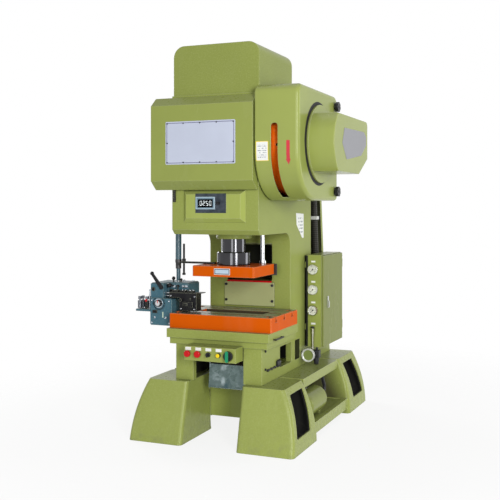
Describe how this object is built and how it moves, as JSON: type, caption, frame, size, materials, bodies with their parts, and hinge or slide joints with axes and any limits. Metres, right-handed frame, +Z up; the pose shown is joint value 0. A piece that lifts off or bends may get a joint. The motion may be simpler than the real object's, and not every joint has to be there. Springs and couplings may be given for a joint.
{
  "type": "mechanical stamping press",
  "caption": "C-frame mechanical stamping press with guarded flywheel and belt drive, tee-slotted bolster, gripper feeder, air cabinet and four-footed stand",
  "frame": {"origin": "on the floor, in the middle of the pattern of four foundation bolt holes in the feet", "axes": "+X to the flywheel's side, which is the operator's right; +Y from the operator to the machine's back; +Z up from the floor"},
  "size_m": [1.4236, 1.585, 2.515],
  "materials": {
    "green_paint": "glossy olive green machine paint",
    "green_cast": "olive green machine paint on casting",
    "orange_paint": "glossy orange machine paint",
    "orange_cast": "orange machine paint on casting",
    "blue_paint": "glossy blue paint",
    "black_paint": "semi-gloss black paint",
    "grey_box": "light grey paint",
    "steel": "ground steel",
    "steel_dark": "dark steel screws",
    "bronze": "bearing bronze",
    "black_plastic": "black plastic",
    "red_plastic": "red plastic",
    "yellow_plastic": "yellow plastic",
    "black_rubber": "black rubber",
    "white_plate": "bare white plates",
    "clear": "clear window",
    "chrome_part": "bright chrome"
  },
  "bodies": {
    "machine": {"stand": "green_paint", "frame_casting": "green_cast", "bolster": "orange_cast", "screws": "steel_dark", "throat_cover": "green_paint", "bushes": "bronze", "ram_guide": "green_cast", "front_cover": "green_paint", "bare_plates": "white_plate", "instrument_panel": "green_paint", "clear_windows": "clear", "top_cover": "green_paint", "flywheel_guard": "green_paint", "guard_seal": "black_rubber", "belt_guard": "green_paint", "drive_belt": "black_rubber", "motor": "green_paint", "control_box": "green_paint", "button_bezels": "chrome_part", "air_cabinet": "green_paint", "gauge_cases": "chrome_part", "air_line": "black_rubber", "filter_regulator": "black_plastic", "air_tank": "green_paint", "conduit": "black_plastic", "scrap_chute": "steel", "takeoff_box": "green_paint", "feeder_body": "blue_paint", "feeder_rollers": "black_plastic"},
    "crank": {"crankshaft": "steel", "clutch_disc": "steel"},
    "flywheel": {"flywheel": "orange_cast", "flywheel_pulley": "steel"},
    "motor_rotor": {"motor_rotor": "steel"},
    "slide": {"ram": "steel", "connecting_rod": "steel", "slide_plate": "orange_cast", "guide_posts": "steel", "slide_labels": "black_paint", "slide_arm": "black_paint"},
    "feed_shaft": {"feed_shaft": "blue_paint"},
    "feed_carriage": {"feeder_carriage": "black_paint"},
    "feed_lever": {"feeder_lever": "black_plastic"},
    "feed_dial": {"feeder_dial": "black_plastic"},
    "stop_left": {"stop_button_left": "red_plastic"},
    "stop_right": {"stop_button_right": "red_plastic"},
    "inching": {"inching_button": "yellow_plastic"},
    "selector": {"selector_knob": "black_plastic"},
    "main_switch": {"main_switch_knob": "black_plastic"},
    "display_knob": {"display_knob": "black_plastic"},
    "door": {"cabinet_door": "green_paint"},
    "door_handle": {"door_handle": "chrome_part"},
    "needle_1": {"gauge_needle_1": "black_plastic"},
    "needle_2": {"gauge_needle_2": "black_plastic"},
    "needle_3": {"gauge_needle_3": "black_plastic"},
    "valve_knob": {"air_valve_knob": "black_plastic"},
    "regulator_knob": {"regulator_knob": "black_plastic"},
    "drain_knob": {"drain_knob": "red_plastic"},
    "guard_knob_lower": {"guard_knob_lower": "black_plastic"},
    "guard_knob_upper": {"guard_knob_upper": "black_plastic"}
  },
  "joints": [
    {"name": "crank_turn", "type": "hinge", "parent": "machine", "child": "crank", "pos_m": [0, -0.403, 1.888], "axis": [1, 0, 0], "continuous": true},
    {"name": "flywheel_turn", "type": "hinge", "parent": "machine", "child": "flywheel", "pos_m": [0.437, -0.403, 1.888], "axis": [1, 0, 0], "continuous": true},
    {"name": "motor_turn", "type": "hinge", "parent": "machine", "child": "motor_rotor", "pos_m": [0.6, 0.032, 1.93], "axis": [1, 0, 0], "continuous": true},
    {"name": "slide_travel", "type": "slide", "parent": "machine", "child": "slide", "axis": [0, 0, 1], "range_m": [-0.03, 0]},
    {"name": "feed_turn", "type": "hinge", "parent": "machine", "child": "feed_shaft", "pos_m": [-0.414, -0.403, 1.4], "axis": [0, 0, 1], "continuous": true},
    {"name": "carriage_travel", "type": "slide", "parent": "machine", "child": "feed_carriage", "axis": [1, 0, 0], "range_m": [-0.04, 0.04]},
    {"name": "lever_swing", "type": "hinge", "parent": "machine", "child": "feed_lever", "pos_m": [-0.462, -0.55, 0.955], "axis": [0, 1, 0], "range_deg": [-25, 40]},
    {"name": "dial_turn", "type": "hinge", "parent": "machine", "child": "feed_dial", "pos_m": [-0.475, -0.57, 0.852], "axis": [0, 1, 0], "range_deg": [-150, 150]},
    {"name": "stop_left_push", "type": "slide", "parent": "machine", "child": "stop_left", "axis": [0, 1, 0], "range_m": [0, 0.005], "stiffness_N_per_m": 400},
    {"name": "stop_right_push", "type": "slide", "parent": "machine", "child": "stop_right", "axis": [0, 1, 0], "range_m": [0, 0.005], "stiffness_N_per_m": 400},
    {"name": "inching_push", "type": "slide", "parent": "machine", "child": "inching", "axis": [0, 1, 0], "range_m": [0, 0.005], "stiffness_N_per_m": 400},
    {"name": "selector_turn", "type": "hinge", "parent": "machine", "child": "selector", "pos_m": [-0.008, -0.77, 0.576], "axis": [0, 1, 0], "range_deg": [-45, 45]},
    {"name": "main_switch_turn", "type": "hinge", "parent": "machine", "child": "main_switch", "pos_m": [0.132, -0.78, 0.576], "axis": [0, 1, 0], "range_deg": [0, 90]},
    {"name": "display_knob_turn", "type": "hinge", "parent": "machine", "child": "display_knob", "pos_m": [0.041, -0.728, 1.513], "axis": [0, 1, 0], "range_deg": [-140, 140]},
    {"name": "door_swing", "type": "hinge", "parent": "machine", "child": "door", "pos_m": [0.433, 0.581, 0.8], "axis": [0, 0, 1], "range_deg": [0, 110]},
    {"name": "handle_turn", "type": "hinge", "parent": "door", "child": "door_handle", "pos_m": [0.441, 0.212, 0.843], "axis": [1, 0, 0], "range_deg": [0, 90]},
    {"name": "needle_1_turn", "type": "hinge", "parent": "machine", "child": "needle_1", "pos_m": [0.366, 0.116, 1.049], "axis": [0, 1, 0], "range_deg": [0, 270]},
    {"name": "needle_2_turn", "type": "hinge", "parent": "machine", "child": "needle_2", "pos_m": [0.366, 0.116, 0.907], "axis": [0, 1, 0], "range_deg": [0, 270]},
    {"name": "needle_3_turn", "type": "hinge", "parent": "machine", "child": "needle_3", "pos_m": [0.366, 0.116, 0.762], "axis": [0, 1, 0], "range_deg": [0, 270]},
    {"name": "valve_turn", "type": "hinge", "parent": "machine", "child": "valve_knob", "pos_m": [0.366, 0.114, 0.64], "axis": [0, 0, 1], "range_deg": [-180, 180]},
    {"name": "regulator_turn", "type": "hinge", "parent": "machine", "child": "regulator_knob", "pos_m": [0.392, 0.12, 0.4], "axis": [0, 0, 1], "range_deg": [-180, 180]},
    {"name": "drain_turn", "type": "hinge", "parent": "machine", "child": "drain_knob", "pos_m": [0.432, 0.025, 0.154], "axis": [0, 1, 0], "range_deg": [0, 90]},
    {"name": "guard_knob_lower_turn", "type": "hinge", "parent": "machine", "child": "guard_knob_lower", "pos_m": [0.6, -0.072, 1.592], "axis": [1, 0, 0], "range_deg": [-180, 180]},
    {"name": "guard_knob_upper_turn", "type": "hinge", "parent": "machine", "child": "guard_knob_upper", "pos_m": [0.6, -0.072, 2.158], "axis": [1, 0, 0], "range_deg": [-180, 180]}
  ],
  "couplings": [
    {"joint": "motor_turn", "follows": "flywheel_turn", "ratio": 2.6897},
    {"joint": "feed_turn", "follows": "crank_turn", "ratio": 1}
  ]
}
